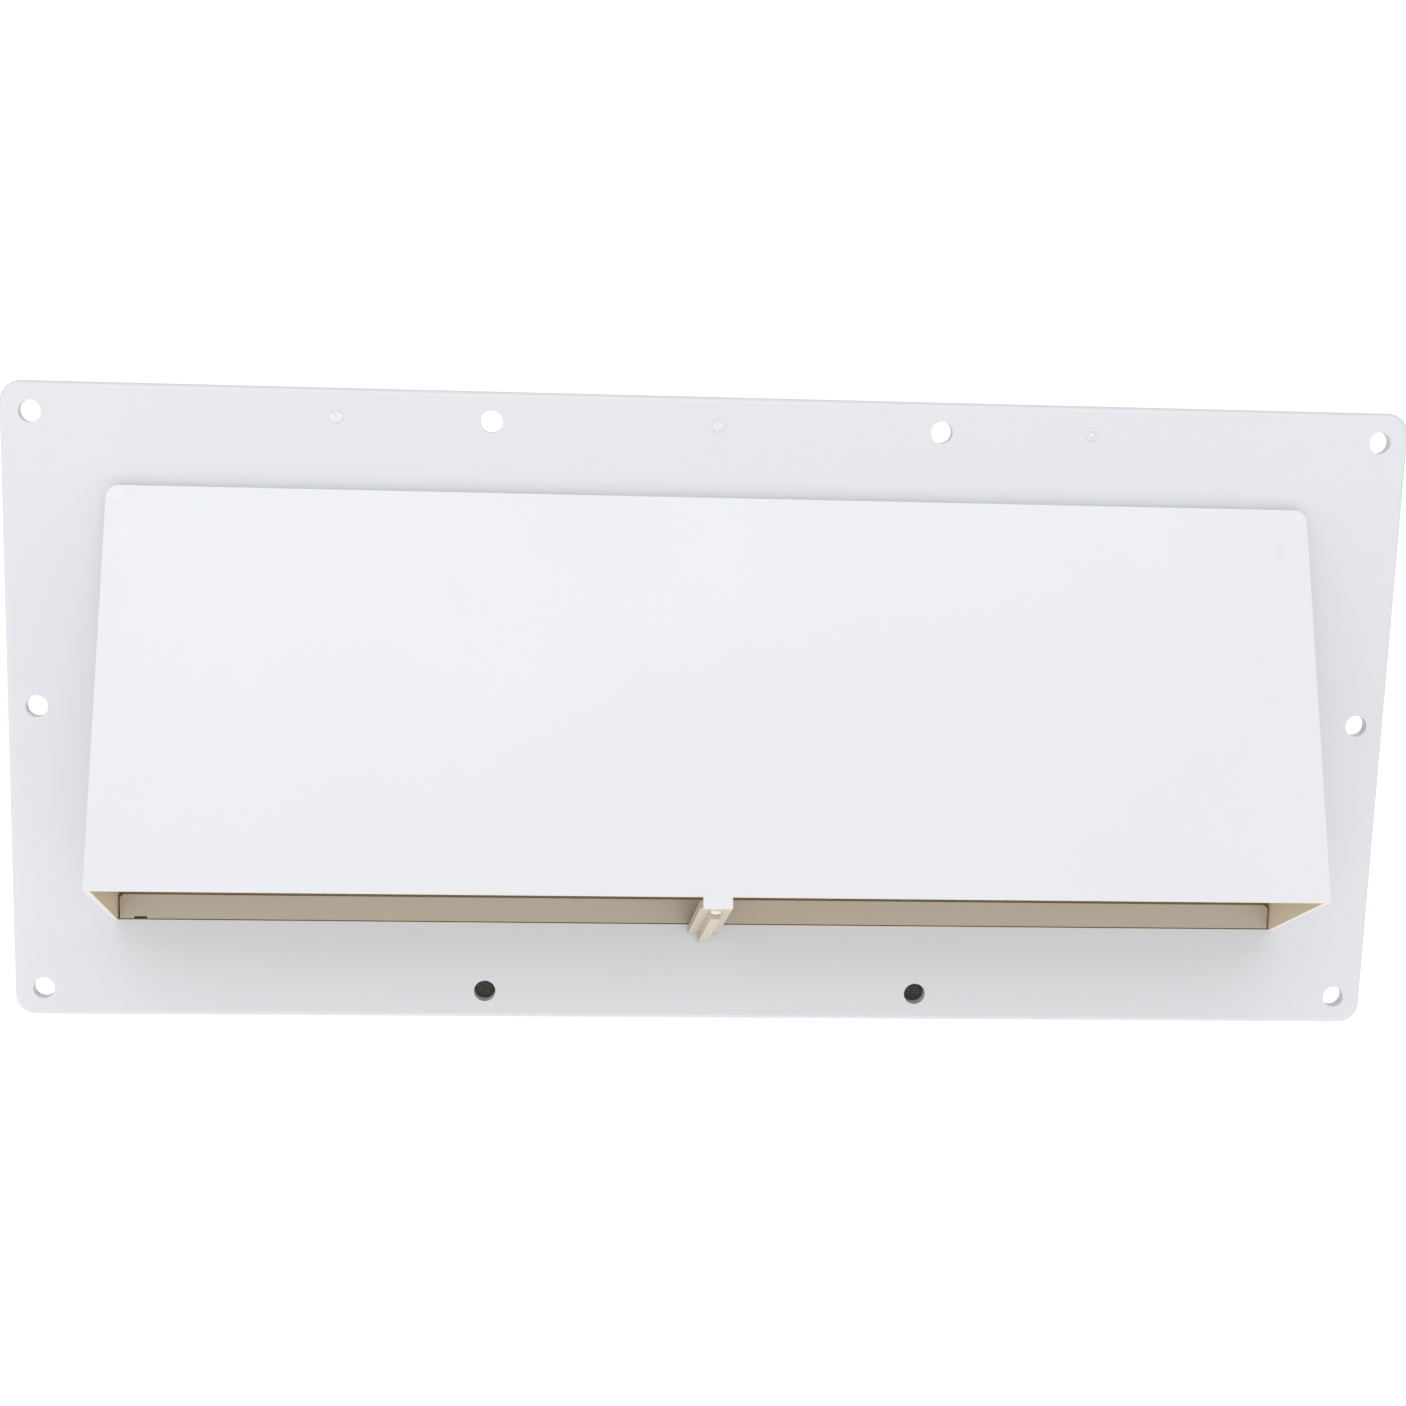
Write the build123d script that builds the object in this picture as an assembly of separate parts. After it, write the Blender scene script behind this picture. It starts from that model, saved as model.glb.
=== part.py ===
"""Sidewall vent cover with a gravity damper flap, as separate solids in one shared frame.

Millimetres, +Z up, +X to the right seen from the front, +Y into the wall.
The origin is the centre of the screw pattern on the back face of the flange.
"""
import math
import os

from build123d import *

# ---------------------------------------------------------------- driving dimensions
# flange plate
FLANGE_W = 304.8
FLANGE_H = 139.7
FLANGE_T = 2.5
FLANGE_CORNER_R = 4.5
FLANGE_EDGE_R = 1.2
FRONT = -FLANGE_T

# screw pattern
PATTERN_X = 146.05
PATTERN_Z = 63.5
INNER_X = PATTERN_X / 3
SCREW_HOLE_R = 2.4
RING_X = 81.7
RING_Z = 63.8
RING_R = 1.35
RING_CORE_R = 0.8
RING_HEIGHT = 0.25

# hood: a wedge that grows forward from its top edge down to the lip
HOOD_HALF_W = 130.8
HOOD_LEAN_IN = 0.75
HOOD_TOP_Z = 48.6
HOOD_TOP_Y = -4.5
HOOD_BASE_Z = -47.8
HOOD_DRAFT = 1.6
DRAFT_START_Y = 1.0
LIP_Y = -38.1
LIP_Z = -31.0
WALL = 1.2
HOOD_CORNER_R = 2.6
HOOD_EDGE_R = 2.0
SINK_X = 124.9
SINK_DOWN = 9.8
SINK_BALL_R = 12.0
SINK_DEPTH = 0.2
HOLLOW_TOP = 45.0
HOLLOW_BOTTOM = -47.6

# direction along the mouth from the lip to the flange, and the way out of the mouth
MOUTH_LENGTH = math.hypot(LIP_Y - FRONT, LIP_Z - HOOD_BASE_Z)
ALONG = Vector(0, (FRONT - LIP_Y) / MOUTH_LENGTH, (HOOD_BASE_Z - LIP_Z) / MOUTH_LENGTH)
OUTWARD = Vector(0, ALONG.Z, -ALONG.Y)

# direction down the front face of the hood, and the way into the hood
FACE_LENGTH = math.hypot(LIP_Y - HOOD_TOP_Y, HOOD_TOP_Z - LIP_Z)
FACE_DOWN = Vector(0, (LIP_Y - HOOD_TOP_Y) / FACE_LENGTH, (LIP_Z - HOOD_TOP_Z) / FACE_LENGTH)
FACE_IN = Vector(0, -FACE_DOWN.Z, FACE_DOWN.Y)

# collar frame behind the flange, with the duct collar and the rain dam
LEDGE_T = 1.6
LEDGE_HALF_W = 134.4
LEDGE_TOP = 51.5
LEDGE_BOTTOM = -54.5
LEDGE_CORNER_R = 3.0
PORT_HALF_W = 117.0
PORT_TOP = 33.5
PORT_BOTTOM = -30.5
PORT_CORNER_R = 2.0
COLLAR_HALF_W = 121.5
COLLAR_HALF_H = 39.0
COLLAR_CORNER_R = 4.0
COLLAR_WALL = 1.6
COLLAR_BACK = 28.0
DAM_HALF_W = 129.15
DAM_TOP = -41.9
DAM_BOTTOM = -47.4
DAM_FRONT = -2.4
DAM_CORNER_R = 1.3
WEEP_X = -124.6
WEEP_W = 2.8
WEEP_H = 0.5

# hinge
PIVOT_Y = -2.8
PIVOT_Z = 39.5
ROD_R = 1.25
ROD_HALF_L = 127.0
ROD_HOLE_R = 1.30
KNUCKLE_R = 2.4
KNUCKLE_L = 18.0
KNUCKLE_XS = (-105.0, -35.0, 35.0, 105.0)
POST_X = 123.4
POST_T = 3.4
POST_HALF_H = 2.9
CAP_R = 2.2
CAP_T = 1.6
CAP_GAP = 0.1

# damper flap
FLAP_HALF_W = 120.8
FLAP_TOP = 37.6
FLAP_BOTTOM = -33.5
FLAP_FRONT = -2.5
FLAP_BACK = -1.0
FLAP_CORNER_R = 1.5
RIB_XS = (-78.0, -26.0, 26.0, 78.0)
RIB_W = 1.6
RIB_DEPTH = 4.0
RIB_TOP = 26.0
RIB_BOTTOM = -24.0

# foam
SEAL_FRONT = -0.95
SEAL_W = 2.6
SEAL_GAP = 0.3
GASKET_HALF_W = 150.9
GASKET_HALF_H = 68.4
GASKET_GAP = 0.6
GASKET_HOLE_R = 3.4

# screws that hold the collar frame to the cover
COLLAR_SCREW_X = 125.4
COLLAR_SCREW_Z = 24.0
SCREW_R = 1.4
SCREW_HEAD_R = 2.7
SCREW_TIP = -7.5
BOSS_R = 2.9
BOSS_FRONT = -9.0
BOSS_WEB_W = 3.6
FIT = 0.03

# lever across the mouth; distances run along the mouth from the lip and outward from it
TAB_W = 6.1
TAB_T = 1.9
TAB_DROP = 2.4
PIN_AT = 5.7
PIN_R = 0.8
PIN_HOLE_R = 0.85
PIN_HEAD_R = 1.15
PIN_HEAD_H = 0.9
LEVER_HALF_W = 3.4
LEVER_NEAR = 0.2
LEVER_FAR = 1.8
LEVER_END_GAP = 0.4
LEVER_RIB_W = 2.1
LEVER_RIB_FAR = 3.65
LEVER_RIB_START = 7.2
CATCH_START = 33.0
CATCH_END = 37.0
CATCH_HEIGHT = 2.3
PIVOT_BOSS_R = 2.4
PIVOT_BOSS_NEAR = 0.5
PIVOT_BOSS_FAR = 6.0
WASHER_R = 2.0
NUT_R = 1.9
NUT_T = 0.8
PIN_END = 7.2
STACK_GAP = 0.05

# rubber stops for the open flap
BUMPER_X = 60.0
BUMPER_DOWN = 66.8
BUMPER_R = 4.0
BUMPER_H = 8.0

PARTS = "parts"


# ---------------------------------------------------------------- helpers
def block(x0, x1, y0, y1, z0, z1):
    """A box given by its two limits on each axis."""
    return Pos((x0 + x1) / 2, (y0 + y1) / 2, (z0 + z1) / 2) * Box(x1 - x0, y1 - y0, z1 - z0)


def rounded_slab(half_w, z0, z1, y0, y1, radius):
    """A flat plate in the XZ plane with four rounded corners."""
    outline = RectangleRounded(2 * half_w, z1 - z0, radius)
    lying = Plane(origin=(0, y1, (z0 + z1) / 2), x_dir=(1, 0, 0), z_dir=(0, -1, 0))
    return extrude(lying * outline, amount=y1 - y0)


def rod_y(x, z, radius, y0, y1):
    """A round bar along Y."""
    return Pos(x, (y0 + y1) / 2, z) * Rot(90, 0, 0) * Cylinder(radius, y1 - y0)


def rod_x(x0, x1, y, z, radius):
    """A round bar along X."""
    return Pos((x0 + x1) / 2, y, z) * Rot(0, 90, 0) * Cylinder(radius, x1 - x0)


def side_prism(points, half_w):
    """A side-view outline of (y, z) points, widened evenly to both sides."""
    outline = Polyline(*[(y, z) for y, z in points], close=True)
    across = Plane(origin=(0, 0, 0), x_dir=(0, 1, 0), z_dir=(1, 0, 0))
    return extrude(across * make_face(outline), amount=half_w, both=True)


def mouth_plane(along, outward=0.0):
    """A plane on the mouth: its x runs across, its y toward the flange, its z outward."""
    origin = Vector(0, LIP_Y, LIP_Z) + ALONG * along + OUTWARD * outward
    return Plane(origin=origin, x_dir=(-1, 0, 0), z_dir=OUTWARD)


def mouth_block(width, along0, along1, out0, out1):
    """A box laid out in the directions of the mouth, centred across it."""
    shape = Pos(0, (along1 - along0) / 2, (out1 - out0) / 2) * Box(width, along1 - along0, out1 - out0)
    return mouth_plane(along0, out0) * shape


def mouth_disc(radius, out0, out1):
    """A round disc about the lever's pin."""
    return mouth_plane(PIN_AT, out0) * Pos(0, 0, (out1 - out0) / 2) * Cylinder(radius, out1 - out0)


def yz(vector):
    return (vector.Y, vector.Z)


def pattern_points():
    """Centres of the ten screw holes."""
    corners = [(sx * PATTERN_X, sz * PATTERN_Z) for sx in (-1, 1) for sz in (-1, 1)]
    inner = [(sx * INNER_X, sz * PATTERN_Z) for sx in (-1, 1) for sz in (-1, 1)]
    sides = [(sx * PATTERN_X, 0) for sx in (-1, 1)]
    return corners + inner + sides


def collar_screw_points():
    return [(sx * COLLAR_SCREW_X, sz * COLLAR_SCREW_Z) for sx in (-1, 1) for sz in (-1, 1)]


# ---------------------------------------------------------------- cover moulding
def flange():
    plate = rounded_slab(FLANGE_W / 2, -FLANGE_H / 2, FLANGE_H / 2, FRONT, 0, FLANGE_CORNER_R)
    rim = plate.faces().sort_by(Axis.Y)[0].edges()
    plate = fillet(rim, FLANGE_EDGE_R)
    for x, z in pattern_points():
        plate -= rod_y(x, z, SCREW_HOLE_R, FRONT - 1, 1)
    for x in (-RING_X, 0, RING_X):
        ring = rod_y(x, RING_Z, RING_R, FRONT - RING_HEIGHT, FRONT + 0.5)
        ring = chamfer(ring.faces().sort_by(Axis.Y)[0].edges(), RING_HEIGHT / 2)
        plate += ring
        plate -= rod_y(x, RING_Z, RING_CORE_R, FRONT - 1, FRONT)
    return plate


def hood_half_width(z):
    """Half the hood's width at a height, where its draft starts: the sides lean in toward the top."""
    return HOOD_HALF_W - HOOD_LEAN_IN * (z - HOOD_BASE_Z) / (HOOD_TOP_Z - HOOD_BASE_Z)


def drafted_block(inset, top, corner_r=0.0):
    """A block as wide as the hood, which narrows forward from the draft's start."""
    bottom = HOOD_BASE_Z - 15
    top_half_w = hood_half_width(top) - inset
    bottom_half_w = hood_half_width(bottom) - inset
    outline = make_face(Polyline((-bottom_half_w, bottom), (bottom_half_w, bottom),
                                 (top_half_w, top), (-top_half_w, top), close=True))
    if corner_r:
        outline = fillet(outline.vertices().sort_by(Axis.Y)[-2:], corner_r)
    lying = Plane(origin=(0, DRAFT_START_Y, 0), x_dir=(1, 0, 0), z_dir=(0, -1, 0))
    return extrude(lying * outline, amount=5 - LIP_Y, taper=HOOD_DRAFT)


def hood_wedge():
    """The closed outer wedge of the hood with its rounded edges."""
    above_top = Vector(0, HOOD_TOP_Y, HOOD_TOP_Z) - FACE_DOWN * 2
    outline = [(FRONT + 1, above_top.Z), yz(above_top), (LIP_Y, LIP_Z),
               (FRONT, HOOD_BASE_Z), (FRONT + 1, HOOD_BASE_Z)]
    side_view = side_prism(outline, HOOD_HALF_W + 5)
    wedge = side_view & drafted_block(0, HOOD_TOP_Z, HOOD_CORNER_R)
    face = wedge.faces().sort_by(SortBy.AREA)[-1]
    rounded = [e for e in face.edges() if e.center().Z > LIP_Z + 1]
    wedge = fillet(rounded, HOOD_EDGE_R)
    for x in (-SINK_X, SINK_X):
        spot = Vector(x, HOOD_TOP_Y, HOOD_TOP_Z) + FACE_DOWN * SINK_DOWN
        wedge -= Pos(spot - FACE_IN * (SINK_BALL_R - SINK_DEPTH)) * Sphere(SINK_BALL_R)
    return wedge


def hood_hollow():
    """Everything inside the hood, open through the mouth and through the flange."""
    inner_top = Vector(0, HOOD_TOP_Y, HOOD_TOP_Z) + FACE_IN * WALL
    steps_down = (inner_top.Z - HOLLOW_TOP) / -FACE_DOWN.Z
    ceiling = inner_top + FACE_DOWN * steps_down
    past_lip = inner_top + FACE_DOWN * (FACE_LENGTH + 3)
    outline = [(1, HOLLOW_TOP), yz(ceiling), yz(past_lip), (FRONT, HOLLOW_BOTTOM - 3),
               (FRONT, HOLLOW_BOTTOM), (1, HOLLOW_BOTTOM)]
    return side_prism(outline, HOOD_HALF_W + 5) & drafted_block(WALL, HOLLOW_TOP + 15)


def collar_boss(x, z):
    """A screw boss with a web that ends inside the side wall's thickness."""
    draft = (DRAFT_START_Y - BOSS_FRONT) * math.tan(math.radians(HOOD_DRAFT))
    wall_x = math.copysign(hood_half_width(z) - draft - WALL / 2, x)
    boss = rod_y(x, z, BOSS_R, BOSS_FRONT, 0)
    boss += block(min(x, wall_x), max(x, wall_x), BOSS_FRONT, 0, z - BOSS_WEB_W / 2, z + BOSS_WEB_W / 2)
    return boss


def pivot_boss():
    """The boss just behind the lip that carries the lever's pin."""
    boss = mouth_disc(PIVOT_BOSS_R, -PIVOT_BOSS_FAR, -PIVOT_BOSS_NEAR)
    web = mouth_block(2 * PIVOT_BOSS_R, WALL / 2, PIN_AT, -PIVOT_BOSS_FAR, -PIVOT_BOSS_NEAR)
    return boss + web


def cover_shell():
    shell = flange() + hood_wedge()
    shell -= hood_hollow()
    for x, z in collar_screw_points():
        shell += collar_boss(x, z)
        shell -= rod_y(x, z, SCREW_R + FIT, SCREW_TIP - 0.4, 1)
    shell += mouth_block(TAB_W, 0, TAB_T, -WALL, TAB_DROP)
    shell += pivot_boss()
    shell -= mouth_disc(PIN_HOLE_R, -PIVOT_BOSS_FAR - 1, -PIVOT_BOSS_NEAR + 1)
    return shell


# ---------------------------------------------------------------- collar frame
def duct_collar():
    """The frame behind the flange: ledge, duct collar, rain dam and hinge posts."""
    frame = rounded_slab(LEDGE_HALF_W, LEDGE_BOTTOM, LEDGE_TOP, 0, LEDGE_T, LEDGE_CORNER_R)
    frame += rounded_slab(COLLAR_HALF_W, -COLLAR_HALF_H, COLLAR_HALF_H, LEDGE_T, COLLAR_BACK, COLLAR_CORNER_R)
    bore_half_h = COLLAR_HALF_H - COLLAR_WALL
    frame -= rounded_slab(COLLAR_HALF_W - COLLAR_WALL, -bore_half_h, bore_half_h,
                          LEDGE_T, COLLAR_BACK + 1, COLLAR_CORNER_R - COLLAR_WALL)
    frame -= rounded_slab(PORT_HALF_W, PORT_BOTTOM, PORT_TOP, -1, LEDGE_T + 1, PORT_CORNER_R)
    frame += rain_dam()
    for side in (-1, 1):
        frame += hinge_post(side)
    for x, z in collar_screw_points():
        frame -= collar_screw(x, z, FIT)
    return frame


def rain_dam():
    """The low bar that fills the bottom of the mouth, with a weep notch under its left end."""
    dam = block(-DAM_HALF_W, DAM_HALF_W, DAM_FRONT, LEDGE_T / 2, DAM_BOTTOM, DAM_TOP)
    ends = [e for e in dam.edges().filter_by(Axis.Y) if e.center().Z > DAM_TOP - 0.1]
    dam = fillet(ends, DAM_CORNER_R)
    weep = block(WEEP_X - WEEP_W / 2, WEEP_X + WEEP_W / 2,
                 DAM_FRONT - 1, -0.4, DAM_BOTTOM, DAM_BOTTOM + WEEP_H)
    return dam - weep


def hinge_post(side):
    """One of the two posts that carry the hinge rod."""
    x = side * POST_X
    post = block(x - POST_T / 2, x + POST_T / 2, PIVOT_Y, LEDGE_T / 2,
                 PIVOT_Z - POST_HALF_H, PIVOT_Z + POST_HALF_H)
    post += rod_x(x - POST_T / 2, x + POST_T / 2, PIVOT_Y, PIVOT_Z, KNUCKLE_R)
    post -= rod_x(x - POST_T, x + POST_T, PIVOT_Y, PIVOT_Z, ROD_R + FIT)
    return post


def collar_screw(x, z, slack=0.0):
    """A flat-head screw from the back, or with slack the hole it goes in."""
    shank = rod_y(x, z, SCREW_R + slack, SCREW_TIP, LEDGE_T)
    cone_h = SCREW_HEAD_R - SCREW_R
    cone = Cone(SCREW_R + slack, SCREW_HEAD_R + slack, cone_h)
    return shank + Pos(x, LEDGE_T - cone_h / 2, z) * Rot(-90, 0, 0) * cone


def collar_screws():
    screws = [collar_screw(x, z) for x, z in collar_screw_points()]
    return Compound(children=[s.solid() for s in screws])


# ---------------------------------------------------------------- hinge and flap
def hinge_rod():
    rod = rod_x(-ROD_HALF_L, ROD_HALF_L, PIVOT_Y, PIVOT_Z, ROD_R)
    return chamfer(rod.edges(), 0.2)


def rod_cap(side):
    """A push-on cap outside one hinge post."""
    inner = side * (POST_X + POST_T / 2 + CAP_GAP)
    outer = inner + side * CAP_T
    x0, x1 = min(inner, outer), max(inner, outer)
    cap = rod_x(x0, x1, PIVOT_Y, PIVOT_Z, CAP_R)
    return cap - rod_x(x0 - 1, x1 + 1, PIVOT_Y, PIVOT_Z, ROD_R + FIT)


def damper_flap():
    """The flap with its hinge knuckles and the stiffening ribs on its duct side."""
    flap = rounded_slab(FLAP_HALF_W, FLAP_BOTTOM, FLAP_TOP, FLAP_FRONT, FLAP_BACK, FLAP_CORNER_R)
    for x in KNUCKLE_XS:
        flap += rod_x(x - KNUCKLE_L / 2, x + KNUCKLE_L / 2, PIVOT_Y, PIVOT_Z, KNUCKLE_R)
    for x in RIB_XS:
        flap += block(x - RIB_W / 2, x + RIB_W / 2,
                      FLAP_BACK - 0.5, FLAP_BACK + RIB_DEPTH, RIB_BOTTOM, RIB_TOP)
    return flap - rod_x(-FLAP_HALF_W, FLAP_HALF_W, PIVOT_Y, PIVOT_Z, ROD_HOLE_R)


def flap_seals():
    """Four foam strips round the port for the flap to close on."""
    near_x = PORT_HALF_W + SEAL_GAP
    far_x = near_x + SEAL_W
    low_z = PORT_BOTTOM - SEAL_GAP
    high_z = PORT_TOP + SEAL_GAP
    return {
        "flap_seal_top": block(-far_x, far_x, SEAL_FRONT, 0, high_z, high_z + SEAL_W),
        "flap_seal_bottom": block(-far_x, far_x, SEAL_FRONT, 0, low_z - SEAL_W, low_z),
        "flap_seal_left": block(-far_x, -near_x, SEAL_FRONT, 0, low_z, high_z),
        "flap_seal_right": block(near_x, far_x, SEAL_FRONT, 0, low_z, high_z),
    }


def wall_gaskets():
    """Four foam strips round the back of the flange. The two lower inner screws pierce the foam."""
    near_x = LEDGE_HALF_W + GASKET_GAP
    high_z = LEDGE_TOP + GASKET_GAP
    low_z = LEDGE_BOTTOM - GASKET_GAP
    strips = {
        "wall_gasket_top": block(-GASKET_HALF_W, GASKET_HALF_W, 0, LEDGE_T, high_z, GASKET_HALF_H),
        "wall_gasket_bottom": block(-GASKET_HALF_W, GASKET_HALF_W, 0, LEDGE_T, -GASKET_HALF_H, low_z),
        "wall_gasket_left": block(-GASKET_HALF_W, -near_x, 0, LEDGE_T, low_z, high_z),
        "wall_gasket_right": block(near_x, GASKET_HALF_W, 0, LEDGE_T, low_z, high_z),
    }
    pierced = [(-INNER_X, -PATTERN_Z), (INNER_X, -PATTERN_Z)]
    punched = [point for point in pattern_points() if point not in pierced]
    for name in strips:
        for x, z in punched:
            strips[name] -= rod_y(x, z, GASKET_HOLE_R, -1, LEDGE_T + 1)
    return strips


# ---------------------------------------------------------------- lever and its pivot
def lock_lever():
    """The T-section lever that lies across the mouth, with a low catch at its far end."""
    length = MOUTH_LENGTH + 3
    lever = mouth_disc(LEVER_HALF_W, LEVER_NEAR, LEVER_FAR)
    lever += mouth_block(2 * LEVER_HALF_W, PIN_AT, length, LEVER_NEAR, LEVER_FAR)
    lever += mouth_block(LEVER_RIB_W, LEVER_RIB_START, length, LEVER_FAR - 0.5, LEVER_RIB_FAR)
    lever += mouth_block(LEVER_RIB_W * 2, CATCH_START, CATCH_END, -CATCH_HEIGHT, LEVER_NEAR + 0.5)
    lever -= mouth_disc(PIN_HOLE_R, -1, LEVER_FAR + 1)
    return lever - block(-20, 20, FRONT - LEVER_END_GAP, 20, -80, 0)


def lever_pin():
    pin = mouth_disc(PIN_R, -PIN_END, LEVER_FAR + 0.1)
    head = mouth_disc(PIN_HEAD_R, LEVER_FAR + STACK_GAP, LEVER_FAR + STACK_GAP + PIN_HEAD_H)
    rim = [e for e in head.edges() if (e.center() - Vector(0, LIP_Y, LIP_Z)).dot(OUTWARD) > LEVER_FAR + 0.5]
    return pin + fillet(rim, PIN_HEAD_H * 0.7)


def lever_washer():
    washer = mouth_disc(WASHER_R, -PIVOT_BOSS_NEAR + STACK_GAP, LEVER_NEAR - STACK_GAP)
    return washer - mouth_disc(PIN_HOLE_R, -1, 1)


def lever_nut():
    nut = mouth_disc(NUT_R, -PIVOT_BOSS_FAR - STACK_GAP - NUT_T, -PIVOT_BOSS_FAR - STACK_GAP)
    return nut - mouth_disc(PIN_R + FIT, -PIN_END - 1, -1)


# ---------------------------------------------------------------- rubber stops
def flap_bumper(x):
    """A rubber stud on the inner face of the hood that stops the open flap."""
    seat = Vector(x, HOOD_TOP_Y, HOOD_TOP_Z) + FACE_DOWN * BUMPER_DOWN + FACE_IN * WALL
    plane = Plane(origin=seat, x_dir=(1, 0, 0), z_dir=FACE_IN)
    stud = plane * Pos(0, 0, BUMPER_H / 2) * Cylinder(BUMPER_R, BUMPER_H)
    tip = [e for e in stud.edges() if (e.center() - seat).dot(FACE_IN) > BUMPER_H / 2 and e.length > BUMPER_H]
    return fillet(tip, 0.8)


def build():
    nodes = {
        "cover_shell": cover_shell(),
        "duct_collar": duct_collar(),
        "collar_screws": collar_screws(),
        "hinge_rod": hinge_rod(),
        "rod_cap_left": rod_cap(-1),
        "rod_cap_right": rod_cap(1),
        "damper_flap": damper_flap(),
        "lock_lever": lock_lever(),
        "lever_pin": lever_pin(),
        "lever_washer": lever_washer(),
        "lever_nut": lever_nut(),
        "flap_bumper_left": flap_bumper(-BUMPER_X),
        "flap_bumper_right": flap_bumper(BUMPER_X),
    }
    nodes.update(flap_seals())
    nodes.update(wall_gaskets())
    return nodes


os.makedirs(PARTS, exist_ok=True)
for node_name, shape in build().items():
    export_step(shape, os.path.join(PARTS, node_name + ".step"))
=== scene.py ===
"""Looks for the sidewall vent cover: materials, foam strips, floor, lights and camera."""
import math

import bmesh
import bpy
from mathutils import Euler, Matrix, Vector, noise


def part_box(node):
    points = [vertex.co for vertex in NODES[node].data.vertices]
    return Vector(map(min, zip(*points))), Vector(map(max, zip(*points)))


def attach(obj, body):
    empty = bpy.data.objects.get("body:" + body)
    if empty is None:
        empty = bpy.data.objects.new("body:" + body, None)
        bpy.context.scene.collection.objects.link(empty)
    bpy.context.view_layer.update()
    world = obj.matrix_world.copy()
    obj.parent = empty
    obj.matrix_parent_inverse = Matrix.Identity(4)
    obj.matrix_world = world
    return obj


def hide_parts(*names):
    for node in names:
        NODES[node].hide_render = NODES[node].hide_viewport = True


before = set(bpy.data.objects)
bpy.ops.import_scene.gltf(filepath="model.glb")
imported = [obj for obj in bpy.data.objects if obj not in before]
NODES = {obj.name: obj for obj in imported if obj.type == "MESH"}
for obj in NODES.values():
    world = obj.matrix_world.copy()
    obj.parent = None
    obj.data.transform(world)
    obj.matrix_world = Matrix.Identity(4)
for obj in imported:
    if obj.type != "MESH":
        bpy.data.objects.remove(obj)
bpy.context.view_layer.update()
MM = 0.001

# ---------------------------------------------------------------- what the shapes are, in metres
HOOD_TOP = Vector((0.0, -4.5, 48.6)) * MM
HOOD_LIP = Vector((0.0, -38.1, -31.0)) * MM
HOOD_BASE = Vector((0.0, -2.5, -47.8)) * MM
MOUTH_ALONG = (HOOD_BASE - HOOD_LIP).normalized()
MOUTH_OUTWARD = Vector((0.0, MOUTH_ALONG.z, -MOUTH_ALONG.y))
HOOD_HALF_W = 130.8 * MM
# how much of its half width the hood loses for each metre forward, and for each metre up
HOOD_DRAFT = math.tan(math.radians(1.6))
HOOD_LEAN = 0.75 / 96.4
HOOD_WALL = 1.2 * MM
HOOD_CEILING = 45.0 * MM
BEHIND_FLANGE_Y = 1.0 * MM
IN_FRONT_Y = 0.5 * MM

# gap between a surface and the edge of a mask near it, so that the surface falls clearly on one side
EDGE_SLACK = 0.1 * MM
FLANGE_FADE = 4 * EDGE_SLACK
RIM_SLACK = 0.05 * MM
# how squarely a surface has to face out of the mouth to count as its rim
RIM_FACING = 0.95

# raised rings on the flange and sink marks on the hood: x, z and radius in mm, strength of their painted
# highlight
RINGS = ((-81.7, 63.8, 1.4, 0.50), (0.0, 63.8, 1.2, 0.45), (81.7, 63.8, 0.8, 0.45))
SINK_MARKS = (
    (-124.9, 39.6, 2.4, 0.14),
    (-127.5, 46.9, 1.8, 0.14),
    (124.9, 39.6, 2.0, 0.06),
    (127.9, 46.9, 1.2, 0.12),
)
# how flat the painted highlight on the rings looks
RING_SQUASH = 1.5
# where a ring's painted highlight starts to rise, is full, starts to fall and is gone, as shares of its
# radius
RING_PROFILE = (0.2, 0.6, 0.7, 1.1)
# share of the painted highlight left in a ring's middle
RING_MIDDLE = 0.35
# share of a sink mark's radius that gets the full painted highlight
SINK_CORE = 0.3

# ---------------------------------------------------------------- colours (linear)
WHITE = (0.69, 0.702, 0.735)
WHITE_WARM = (0.675, 0.684, 0.708)
# painted shade: the flange a little darker than the hood's face
FLANGE_PAINTED_SHADE = (0.655, 0.665, 0.692)
# painted warm shade on the hood's inner surfaces
HOOD_INSIDE_PAINTED_SHADE = (0.74, 0.635, 0.475)
# painted warm bounce light on the cut edge round the mouth
MOUTH_RIM_PAINTED_BOUNCE = (0.72, 0.68, 0.60)
# painted highlights on the rings and sink marks
PAINTED_HIGHLIGHT_WHITE = (0.90, 0.91, 0.93)
CREAM = (0.585, 0.515, 0.41)
CREAM_DARK = (0.535, 0.46, 0.355)
COLLAR_WHITE = (0.70, 0.68, 0.645)
# painted warm shade on the collar's front, seen in the mouth
DAM_PAINTED_SHADE = (0.475, 0.41, 0.327)
FLAP_WHITE = (0.66, 0.60, 0.53)
FLAP_WHITE_DARK = (0.60, 0.545, 0.48)
STEEL = (0.58, 0.58, 0.58)
STEEL_DARK = (0.42, 0.42, 0.43)
ENAMEL = (0.80, 0.80, 0.80)
ENAMEL_SHADED = (0.74, 0.74, 0.73)
BLACK = (0.022, 0.022, 0.024)
BLACK_WORN = (0.045, 0.044, 0.042)
FOAM = (0.045, 0.036, 0.029)
FOAM_LIGHT = (0.10, 0.086, 0.072)


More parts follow.
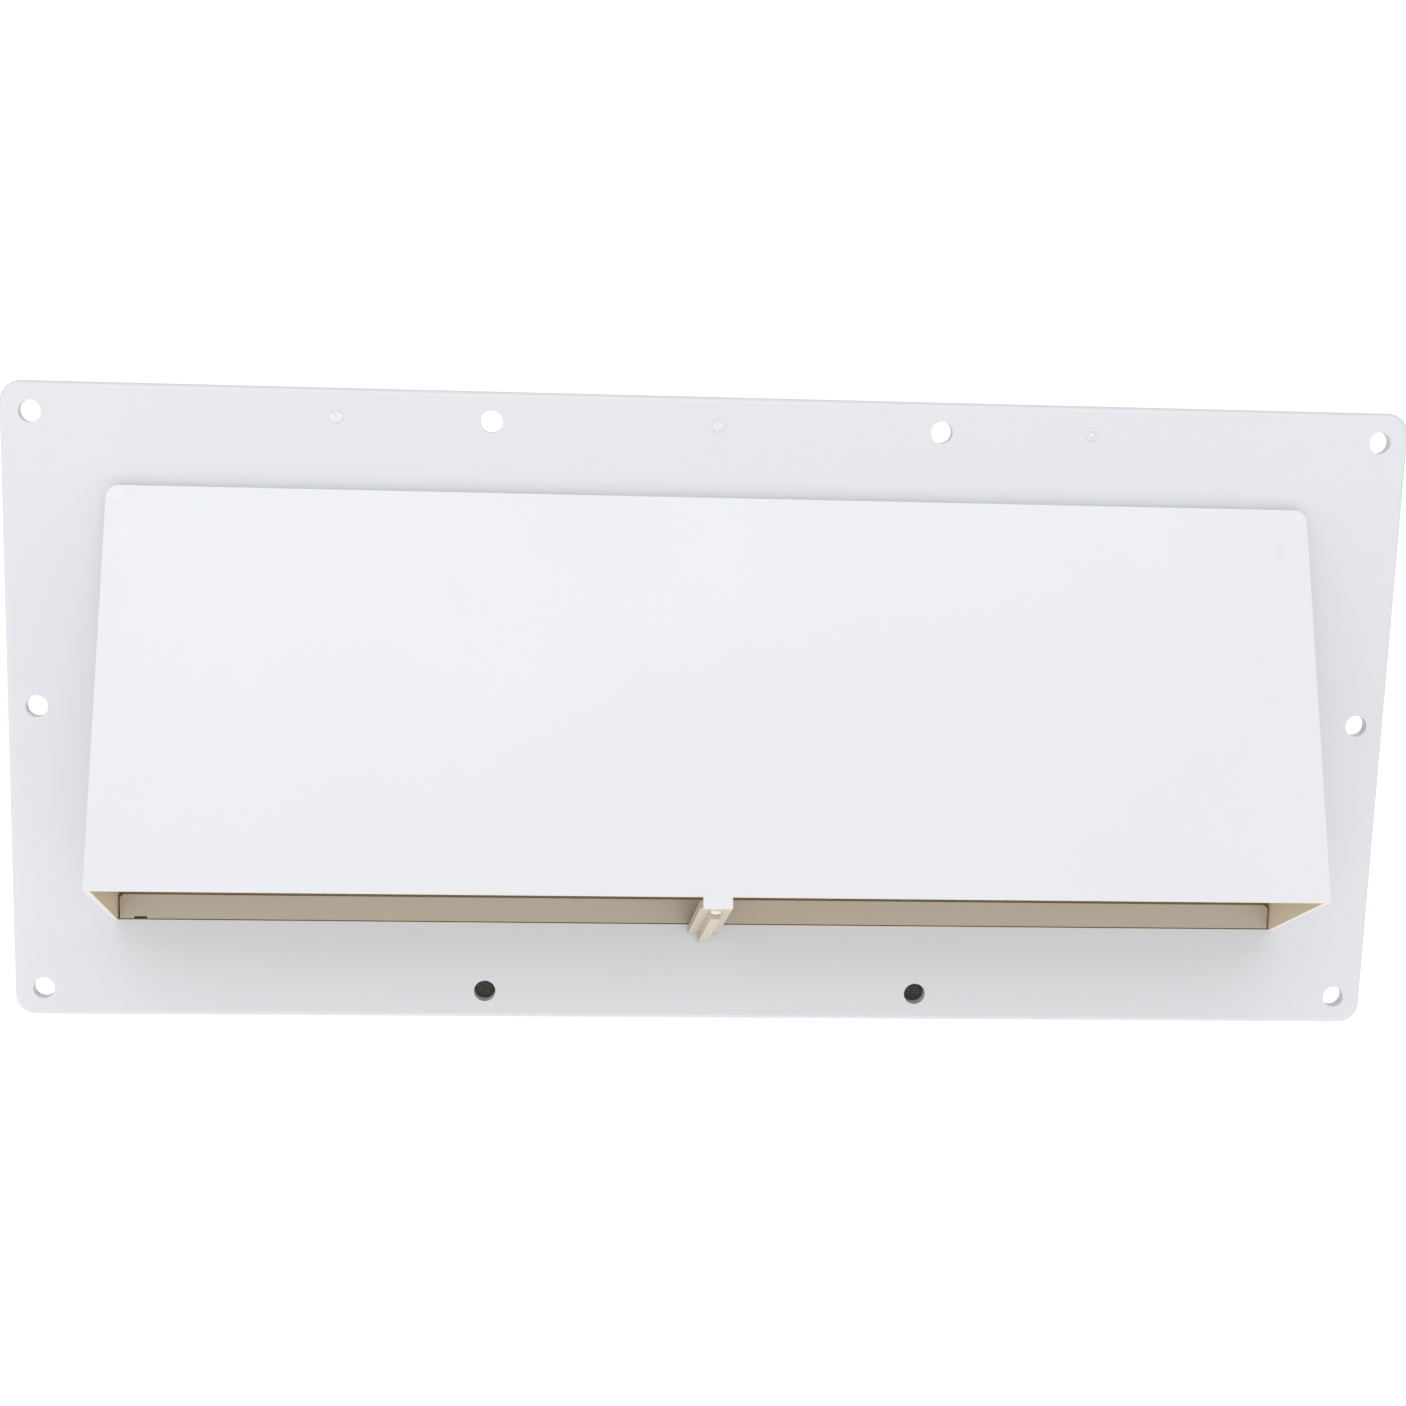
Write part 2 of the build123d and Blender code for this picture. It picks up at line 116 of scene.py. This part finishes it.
# ---------------------------------------------------------------- node helpers
class Graph:
    """A material with its principled shader, and short ways to add nodes to it."""

    def __init__(self, name):
        self.material = bpy.data.materials.new(name)
        self.material.use_nodes = True
        self.tree = self.material.node_tree
        self.shader = self.tree.nodes["Principled BSDF"]
        coordinates = self.add("ShaderNodeTexCoord")
        self.place = coordinates.outputs["Object"]
        self.facing = coordinates.outputs["Normal"]

    def add(self, kind, **settings):
        node = self.tree.nodes.new(kind)
        for key, value in settings.items():
            setattr(node, key, value)
        return node

    def link(self, source, target):
        self.tree.links.new(source, target)

    def noise(self, scale, detail=3.0, rough=0.5, stretch=(1, 1, 1)):
        """Noise of that many features a metre; stretch squeezes it along an axis."""
        mapping = self.add("ShaderNodeMapping")
        mapping.inputs["Scale"].default_value = stretch
        texture = self.add("ShaderNodeTexNoise")
        texture.inputs["Scale"].default_value = scale
        texture.inputs["Detail"].default_value = detail
        texture.inputs["Roughness"].default_value = rough
        self.link(self.place, mapping.inputs["Vector"])
        self.link(mapping.outputs["Vector"], texture.inputs["Vector"])
        return texture.outputs["Fac"]

    def remap(self, source, low, high, to_low, to_high):
        node = self.add("ShaderNodeMapRange")
        node.inputs["From Min"].default_value = low
        node.inputs["From Max"].default_value = high
        node.inputs["To Min"].default_value = to_low
        node.inputs["To Max"].default_value = to_high
        self.link(source, node.inputs["Value"])
        return node.outputs["Result"]

    def spread(self, source, low, high):
        """Stretches what lies between low and high to 0 to 1."""
        return self.remap(source, low, high, 0.0, 1.0)

    def mix(self, factor, first, second):
        """Blends two colours, each a plain colour or another node's output."""
        node = self.add("ShaderNodeMix", data_type="RGBA")
        self.link(factor, node.inputs["Factor"])
        for value, socket in ((first, node.inputs["A"]), (second, node.inputs["B"])):
            if isinstance(value, tuple):
                socket.default_value = (*value, 1.0)
            else:
                self.link(value, socket)
        return node.outputs["Result"]

    def math(self, operation, first, second):
        node = self.add("ShaderNodeMath", operation=operation)
        for value, socket in ((first, node.inputs[0]), (second, node.inputs[1])):
            if isinstance(value, (int, float)):
                socket.default_value = value
            else:
                self.link(value, socket)
        return node.outputs["Value"]

    def bump(self, height, strength, distance):
        node = self.add("ShaderNodeBump")
        node.inputs["Strength"].default_value = strength
        node.inputs["Distance"].default_value = distance
        self.link(height, node.inputs["Height"])
        self.link(node.outputs["Normal"], self.shader.inputs["Normal"])

    def axes(self):
        split = self.add("ShaderNodeSeparateXYZ")
        self.link(self.place, split.inputs["Vector"])
        return tuple(split.outputs[axis] for axis in "XYZ")

    def along(self, vector, direction):
        """How far a vector reaches in a direction."""
        node = self.add("ShaderNodeVectorMath", operation="DOT_PRODUCT")
        self.link(vector, node.inputs[0])
        node.inputs[1].default_value = direction
        return node.outputs["Value"]

    def colour(self, output):
        self.link(output, self.shader.inputs["Base Color"])

    def roughness(self, output):
        self.link(output, self.shader.inputs["Roughness"])


def hood_inside_mask(g):
    """1 on the hood's inner surfaces, where warm shade is painted, and 0 elsewhere, worked out from the
    place alone.
    """
    x, y, z = g.axes()
    down = (HOOD_LIP - HOOD_TOP).normalized()
    inward_y = -down.z
    inward_z = down.y
    behind = g.math("ADD", g.math("MULTIPLY", y, inward_y), g.math("MULTIPLY", z, inward_z))
    behind_top = HOOD_TOP.y * inward_y + HOOD_TOP.z * inward_z
    under_face = g.math("GREATER_THAN", behind, behind_top + HOOD_WALL / 2)
    drafted_x = g.math("SUBTRACT", g.math("ABSOLUTE", x, 0.0), g.math("MULTIPLY", y, HOOD_DRAFT))
    leant_x = g.math("ADD", drafted_x, g.math("MULTIPLY", g.math("SUBTRACT", z, HOOD_BASE.z), HOOD_LEAN))
    between_sides = g.math("LESS_THAN", leant_x, HOOD_HALF_W - HOOD_WALL / 2)
    below_top = g.math("LESS_THAN", z, HOOD_CEILING + EDGE_SLACK)
    above_base = g.math("GREATER_THAN", z, HOOD_BASE.z + EDGE_SLACK)
    ahead = g.math("MULTIPLY", under_face, between_sides)
    return g.math("MULTIPLY", ahead, g.math("MULTIPLY", below_top, above_base))


def mouth_rim_mask(g):
    """1 on the cut edge round the hood's mouth, where warm bounce light is painted: in the mouth's plane and
    looking straight out of it.
    """
    facing = g.along(g.facing, MOUTH_OUTWARD)
    out = g.along(g.place, MOUTH_OUTWARD)
    at_mouth = HOOD_LIP.dot(MOUTH_OUTWARD)
    beyond = g.math("GREATER_THAN", out, at_mouth - RIM_SLACK)
    before = g.math("LESS_THAN", out, at_mouth + RIM_SLACK)
    looks_out = g.math("GREATER_THAN", facing, RIM_FACING)
    return g.math("MULTIPLY", looks_out, g.math("MULTIPLY", beyond, before))


def reach_from(g, x, z, squash=1.0):
    """Distance from a point in the front view, given in mm; squash above 1 makes the circles flat."""
    place_x, _, place_z = g.axes()
    across = g.math("SUBTRACT", place_x, x * MM)
    up = g.math("MULTIPLY", g.math("SUBTRACT", place_z, z * MM), squash)
    squared = g.math("ADD", g.math("MULTIPLY", across, across), g.math("MULTIPLY", up, up))
    return g.math("SQRT", squared, 0.0)


def ring_painted_highlight(g, x, z, radius, strength):
    """A ring's painted highlight: weak in its middle, full on its crown and gone at its foot."""
    reach = reach_from(g, x, z, RING_SQUASH)
    middle, crown, shoulder, foot = (share * radius * MM for share in RING_PROFILE)
    rise = g.remap(reach, middle, crown, RING_MIDDLE * strength, strength)
    return g.math("MULTIPLY", rise, g.remap(reach, shoulder, foot, 1.0, 0.0))


def sink_painted_highlight(g, x, z, radius, strength):
    """A sink mark's painted highlight, fading from its core to its edge."""
    return g.remap(reach_from(g, x, z), SINK_CORE * radius * MM, radius * MM, strength, 0.0)


def painted_highlight_mask(g):
    """Painted highlights on the rings and sink marks, as soft spots no deeper than the flange's face."""
    spots = [ring_painted_highlight(g, *ring) for ring in RINGS] + [sink_painted_highlight(g, *mark) for mark in SINK_MARKS]
    total = spots[0]
    for spot in spots[1:]:
        total = g.math("MAXIMUM", total, spot)
    _, place_y, _ = g.axes()
    return g.math("MULTIPLY", total, g.math("LESS_THAN", place_y, HOOD_BASE.y + EDGE_SLACK))


def flange_mask(g):
    """1 on the flat flange and all behind its face, where shade is painted, 0 on the hood that stands out
    from it.
    """
    _, y, _ = g.axes()
    return g.remap(y, HOOD_BASE.y - FLANGE_FADE, HOOD_BASE.y - EDGE_SLACK, 0.0, 1.0)


def in_front_mask(g):
    """1 on what faces the outdoors, where the collar gets painted warm shade, 0 on what lies behind the
    flange.
    """
    _, y, _ = g.axes()
    return g.remap(y, BEHIND_FLANGE_Y, IN_FRONT_Y, 0.0, 1.0)


# ---------------------------------------------------------------- materials
# how many features a metre each texture has
TONE_DRIFT = 14
GLOSS_DRIFT = 40
SURFACE_WAVES = 38
MOULD_GRAIN = 2600
STEEL_LINES = 1400
ENAMEL_TONE = 300
ENAMEL_GLOSS = 700
ORANGE_PEEL = 900
RUBBER_BLOOM = 420
RUBBER_GRAIN = 3000
FOAM_CELLS = 1500
FOAM_PATCHES = 160

# how deep each surface's grain is
MOULD_DEPTH = 0.04 * MM
STEEL_DEPTH = 0.02 * MM
PEEL_DEPTH = 0.03 * MM
RUBBER_DEPTH = 0.04 * MM
FOAM_DEPTH = 0.12 * MM

# height of the slow waves in moulded plastic against its grain
WAVE_HEIGHT = 6.0
PLASTIC_IOR = 1.49
PLASTIC_SCATTER = 0.04
PLASTIC_SCATTER_REACH = 2.0 * MM


def moulded_plastic(name, tone, tone_2, rough=0.33, regions=()):
    """Satin moulded plastic: a faint drift of tone, uneven gloss and a fine mould grain.

    Each region is a mask and the colour painted there, which may be the plastic's own tone, painted shade or
    a painted highlight."""
    g = Graph(name)
    drift = g.spread(g.noise(TONE_DRIFT, 2.0), 0.35, 0.65)
    result = g.mix(drift, tone, tone_2)
    for mask, region_tone in regions:
        result = g.mix(mask(g), result, region_tone)
    g.colour(result)
    glossiest = rough - 0.02
    dullest = rough + 0.04
    g.roughness(g.remap(g.noise(GLOSS_DRIFT, 1.0), 0.2, 0.8, glossiest, dullest))
    waviness = g.math("MULTIPLY", g.noise(SURFACE_WAVES, 1.0), WAVE_HEIGHT)
    grain = g.noise(MOULD_GRAIN, 2.0)
    g.bump(g.math("ADD", waviness, grain), 0.10, MOULD_DEPTH)
    g.shader.inputs["IOR"].default_value = PLASTIC_IOR
    g.shader.inputs["Subsurface Weight"].default_value = PLASTIC_SCATTER
    g.shader.inputs["Subsurface Scale"].default_value = PLASTIC_SCATTER_REACH
    return g.material


def drawn_steel(name, stretch):
    """Plated steel with fine lines along its length."""
    g = Graph(name)
    lines = g.noise(STEEL_LINES, 3.0, 0.6, stretch)
    g.colour(g.mix(g.spread(lines, 0.3, 0.7), STEEL_DARK, STEEL))
    g.roughness(g.remap(lines, 0.3, 0.7, 0.26, 0.42))
    g.bump(lines, 0.15, STEEL_DEPTH)
    g.shader.inputs["Metallic"].default_value = 1.0
    return g.material


def painted_pin(name):
    """White enamel over steel, a little orange-peeled."""
    g = Graph(name)
    g.colour(g.mix(g.spread(g.noise(ENAMEL_TONE, 2.0), 0.3, 0.7), ENAMEL, ENAMEL_SHADED))
    g.roughness(g.remap(g.noise(ENAMEL_GLOSS, 2.0), 0.3, 0.7, 0.22, 0.34))
    g.bump(g.noise(ORANGE_PEEL, 1.0), 0.15, PEEL_DEPTH)
    return g.material


def black_rubber(name, rough):
    """Matt black rubber or nylon with a dusty bloom."""
    g = Graph(name)
    bloom = g.spread(g.noise(RUBBER_BLOOM, 5.0, 0.6), 0.4, 0.7)
    g.colour(g.mix(bloom, BLACK, BLACK_WORN))
    g.roughness(g.remap(bloom, 0.0, 1.0, rough, rough + 0.15))
    g.bump(g.noise(RUBBER_GRAIN, 3.0), 0.3, RUBBER_DEPTH)
    return g.material


def closed_cell_foam(name):
    """Charcoal foam tape with small cut cells."""
    g = Graph(name)
    cells = g.add("ShaderNodeTexVoronoi", feature="DISTANCE_TO_EDGE")
    cells.inputs["Scale"].default_value = FOAM_CELLS
    g.link(g.place, cells.inputs["Vector"])
    wall = g.spread(cells.outputs["Distance"], 0.02, 0.20)
    patch = g.remap(g.noise(FOAM_PATCHES, 4.0), 0.35, 0.65, 0.0, 0.35)
    g.colour(g.mix(g.math("MAXIMUM", g.math("SUBTRACT", 1.0, wall), patch), FOAM, FOAM_LIGHT))
    g.roughness(g.remap(wall, 0.0, 1.0, 0.82, 0.97))
    g.bump(wall, 0.6, FOAM_DEPTH)
    return g.material


def dress(node_names, material):
    for name in node_names:
        mesh = NODES[name].data
        mesh.materials.clear()
        mesh.materials.append(material)


def dress_cad():
    # painted light on the cover: shade on the flange, warm shade inside the hood, warm bounce light on the
    # mouth's rim, highlights on the rings and sink marks
    cover_regions = (
        (flange_mask, FLANGE_PAINTED_SHADE),
        (hood_inside_mask, HOOD_INSIDE_PAINTED_SHADE),
        (mouth_rim_mask, MOUTH_RIM_PAINTED_BOUNCE),
        (painted_highlight_mask, PAINTED_HIGHLIGHT_WHITE),
    )
    dress(["cover_shell"], moulded_plastic("cover_white", WHITE, WHITE_WARM, regions=cover_regions))
    dress(["lock_lever"], moulded_plastic("lever_cream", CREAM, CREAM_DARK, rough=0.30))
    # painted warm shade on the collar's front
    collar_regions = ((in_front_mask, DAM_PAINTED_SHADE),)
    dress(["duct_collar"], moulded_plastic("collar_plastic", COLLAR_WHITE, WHITE_WARM, 0.42, collar_regions))
    dress(["damper_flap"], moulded_plastic("flap_offwhite", FLAP_WHITE, FLAP_WHITE_DARK, rough=0.40))
    dress(["hinge_rod"], drawn_steel("rod_steel", (0.04, 1, 1)))
    dress(["collar_screws", "lever_washer", "lever_nut"], drawn_steel("screw_steel", (1, 0.3, 1)))
    dress(["lever_pin"], painted_pin("pin_enamel"))
    dress(["rod_cap_left", "rod_cap_right"], black_rubber("cap_nylon", 0.5))
    dress(["flap_bumper_left", "flap_bumper_right"], black_rubber("bumper_rubber", 0.7))


EDGE_SEGMENTS = 2
MOULDED_EDGE = 0.25 * MM
MOULDED_ANGLE = 50
FOAM_EDGE = 0.18 * MM
FOAM_ANGLE = 40


def soften_edges(obj, width, angle):
    """A small bevel, in looks only, on edges that turn by more than that angle in degrees."""
    bevel = obj.modifiers.new("soft_edge", "BEVEL")
    bevel.width = width
    bevel.segments = EDGE_SEGMENTS
    bevel.limit_method = "ANGLE"
    bevel.angle_limit = math.radians(angle)
    bevel.harden_normals = True


def round_off(node_names):
    for name in node_names:
        soften_edges(NODES[name], MOULDED_EDGE, MOULDED_ANGLE)


# ---------------------------------------------------------------- foam strips
FOAM_SEED = 7
FOAM_CELL = 1.1 * MM
FEWEST_CELLS = 4
# how far a strip's surface sinks at its long edges and by its unevenness, as shares of its thickness
FOAM_CROWN = 0.10
FOAM_UNEVEN = 0.04
# how late towards the edge it sinks, and how many uneven spots there are to a metre
CROWN_POWER = 4
UNEVEN_SCALE = 90
GASKET_HOLE_R = 3.4 * MM
PATTERN_X = 146.05 * MM
PATTERN_Z = 63.5 * MM


def strip_mesh(node, holes):
    """A strip's mesh in the space its CAD node holds, with its holes cut out."""
    low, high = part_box(node)
    size = high - low
    steps_x = max(FEWEST_CELLS, round(size.x / FOAM_CELL))
    steps_z = max(FEWEST_CELLS, round(size.z / FOAM_CELL))
    mesh = bmesh.new()
    grid = {}
    for face in (0, 1):
        for i in range(steps_x + 1):
            for j in range(steps_z + 1):
                grid[face, i, j] = mesh.verts.new(strip_point(low, size, i / steps_x, j / steps_z, face))
    kept = {(i, j) for i in range(steps_x) for j in range(steps_z) if not in_hole(grid, i, j, holes)}
    round_hole_rims(grid, kept, steps_x, steps_z, holes)
    fill_strip(mesh, grid, kept)
    data = bpy.data.meshes.new(node + "_foam")
    mesh.to_mesh(data)
    mesh.free()
    data.shade_smooth()
    return data


def foam_strip(node, material, holes=()):
    """A die-cut foam strip in place of its CAD node: crowned, rounded and slightly uneven."""
    data = strip_mesh(node, holes)
    data.materials.append(material)
    strip = bpy.data.objects.new(node + "_foam", data)
    bpy.context.scene.collection.objects.link(strip)
    soften_edges(strip, FOAM_EDGE, FOAM_ANGLE)
    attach(strip, "housing")
    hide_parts(node)


def strip_point(low, size, across, up, face):
    """A point of a strip: face 0 is its front, face 1 its back, both a little crowned and uneven."""
    point = low + Vector((size.x * across, 0, size.z * up))
    short_way = across if size.x < size.z else up
    edge_drop = (2 * short_way - 1) ** CROWN_POWER
    wobble = 0.5 + 0.5 * noise.noise(point * UNEVEN_SCALE + Vector((FOAM_SEED, 0, 0)))
    sunk = size.y * (FOAM_CROWN * edge_drop + FOAM_UNEVEN * wobble)
    point.y = low.y + sunk if face == 0 else low.y + size.y - sunk
    return point


def round_hole_rims(grid, kept, steps_x, steps_z, holes):
    """Moves the points where kept cells meet a hole onto the hole's rim."""
    for (face, i, j), vert in grid.items():
        around = {(i - 1, j - 1), (i - 1, j), (i, j - 1), (i, j)}
        inner = 0 < i < steps_x and 0 < j < steps_z
        if inner and around & kept and not around <= kept:
            x, z = min(holes, key=lambda hole: math.hypot(vert.co.x - hole[0], vert.co.z - hole[1]))
            reach = math.hypot(vert.co.x - x, vert.co.z - z)
            vert.co.x = x + (vert.co.x - x) * GASKET_HOLE_R / reach
            vert.co.z = z + (vert.co.z - z) * GASKET_HOLE_R / reach


def in_hole(grid, i, j, holes):
    centre = (grid[0, i, j].co + grid[0, i + 1, j + 1].co) / 2
    return any(math.hypot(centre.x - x, centre.z - z) < GASKET_HOLE_R for x, z in holes)


def fill_strip(mesh, grid, kept):
    """Faces for the kept cells, front and back, and walls wherever a cell's neighbour isn't kept."""
    walls = (
        ((-1, 0), (0, 0), (0, 1)),
        ((1, 0), (1, 0), (1, 1)),
        ((0, -1), (0, 0), (1, 0)),
        ((0, 1), (0, 1), (1, 1)),
    )
    for i, j in kept:
        corners = ((i, j), (i + 1, j), (i + 1, j + 1), (i, j + 1))
        for face in (0, 1):
            mesh.faces.new([grid[face, *corner] for corner in corners])
        for (di, dj), (ai, aj), (bi, bj) in walls:
            if (i + di, j + dj) not in kept:
                a = (i + ai, j + aj)
                b = (i + bi, j + bj)
                mesh.faces.new([grid[0, *a], grid[0, *b], grid[1, *b], grid[1, *a]])
    bmesh.ops.delete(mesh, geom=[v for v in mesh.verts if not v.link_faces], context="VERTS")
    bmesh.ops.recalc_face_normals(mesh, faces=mesh.faces)


def foam_strips():
    foam = closed_cell_foam("foam_charcoal")
    for side in ("top", "bottom", "left", "right"):
        foam_strip("flap_seal_" + side, foam)
    columns = (-PATTERN_X, -PATTERN_X / 3, PATTERN_X / 3, PATTERN_X)
    foam_strip("wall_gasket_top", foam, [(x, PATTERN_Z) for x in columns])
    foam_strip("wall_gasket_bottom", foam, [(x, -PATTERN_Z) for x in (-PATTERN_X, PATTERN_X)])
    foam_strip("wall_gasket_left", foam, [(-PATTERN_X, 0.0)])
    foam_strip("wall_gasket_right", foam, [(PATTERN_X, 0.0)])


# ---------------------------------------------------------------- floor, light, camera
FLOOR_Z = -0.60
FLOOR_SIZE = 60.0
FLOOR_TONE = (0.95, 0.95, 0.95)
FLOOR_ROUGHNESS = 0.9
FLOOR_SHINE = 0.1
FLOOR_GLOW = 0.44


def plain_white(name, tone):
    """Matt pale floor that glows a little, so that it stays clean far from the lights."""
    g = Graph(name)
    g.shader.inputs["Base Color"].default_value = (*tone, 1.0)
    g.shader.inputs["Roughness"].default_value = FLOOR_ROUGHNESS
    g.shader.inputs["Specular IOR Level"].default_value = FLOOR_SHINE
    g.shader.inputs["Emission Color"].default_value = (1.0, 1.0, 1.0, 1.0)
    g.shader.inputs["Emission Strength"].default_value = FLOOR_GLOW
    return g.material


def floor():
    mesh = bmesh.new()
    bmesh.ops.create_grid(mesh, x_segments=1, y_segments=1, size=FLOOR_SIZE / 2)
    data = bpy.data.meshes.new("floor")
    mesh.to_mesh(data)
    mesh.free()
    data.materials.append(plain_white("floor_white", FLOOR_TONE))
    obj = bpy.data.objects.new("floor", data)
    obj.location.z = FLOOR_Z
    bpy.context.scene.collection.objects.link(obj)


def studio_sky(strength, seen):
    """Even soft light all round, which the camera itself sees as white."""
    world = bpy.data.worlds.new("studio")
    bpy.context.scene.world = world
    world.use_nodes = True
    tree = world.node_tree
    path = tree.nodes.new("ShaderNodeLightPath")
    level = tree.nodes.new("ShaderNodeMapRange")
    level.inputs["To Min"].default_value = strength
    level.inputs["To Max"].default_value = seen
    sky = tree.nodes["Background"]
    sky.inputs["Color"].default_value = (1.0, 1.0, 1.0, 1.0)
    tree.links.new(path.outputs["Is Camera Ray"], level.inputs["Value"])
    tree.links.new(level.outputs["Result"], sky.inputs["Strength"])


def softbox(name, place, size, energy):
    lamp = bpy.data.lights.new(name, "AREA")
    lamp.shape = "RECTANGLE"
    lamp.size = size[0]
    lamp.size_y = size[1]
    lamp.energy = energy
    obj = bpy.data.objects.new(name, lamp)
    obj.location = place
    obj.rotation_euler = (-Vector(place)).to_track_quat("-Z", "Y").to_euler()
    bpy.context.scene.collection.objects.link(obj)


SKY_LIGHT = 0.68
SKY_SEEN = 1.12
# name, place, width and height, power in watts
SOFTBOXES = (
    ("key_above", (-0.05, -1.30, 1.40), (2.2, 1.2), 16.0),
    ("fill_left", (-0.90, -0.60, 0.30), (0.6, 0.6), 0.8),
)


def lights():
    studio_sky(SKY_LIGHT, SKY_SEEN)
    for box in SOFTBOXES:
        softbox(*box)


CAMERA_AT = (-0.03898, -0.46309, 0.08926)
CAMERA_TURN = -3.71
CAMERA_TILT = -10.074
CAMERA_ROLL = 1.576
CAMERA_LENS = 54.594
CAMERA_SHIFT = (0.0241, -0.0139)
CAMERA_SENSOR = 36.0
CAMERA_NEAREST = 0.01


def camera():
    data = bpy.data.cameras.new("camera")
    data.sensor_width = CAMERA_SENSOR
    data.lens = CAMERA_LENS
    data.shift_x, data.shift_y = CAMERA_SHIFT
    data.clip_start = CAMERA_NEAREST
    obj = bpy.data.objects.new("camera", data)
    turn = Euler((0, 0, math.radians(CAMERA_TURN))).to_matrix()
    tilt = Euler((math.radians(90 + CAMERA_TILT), 0, 0)).to_matrix()
    roll = Matrix.Rotation(math.radians(CAMERA_ROLL), 3, "Z")
    obj.matrix_world = Matrix.Translation(CAMERA_AT) @ (turn @ tilt @ roll).to_4x4()
    bpy.context.scene.collection.objects.link(obj)
    bpy.context.scene.camera = obj


dress_cad()
round_off(["duct_collar", "damper_flap", "lock_lever"])
foam_strips()
floor()
lights()
camera()
bpy.context.scene.view_settings.view_transform = "Standard"
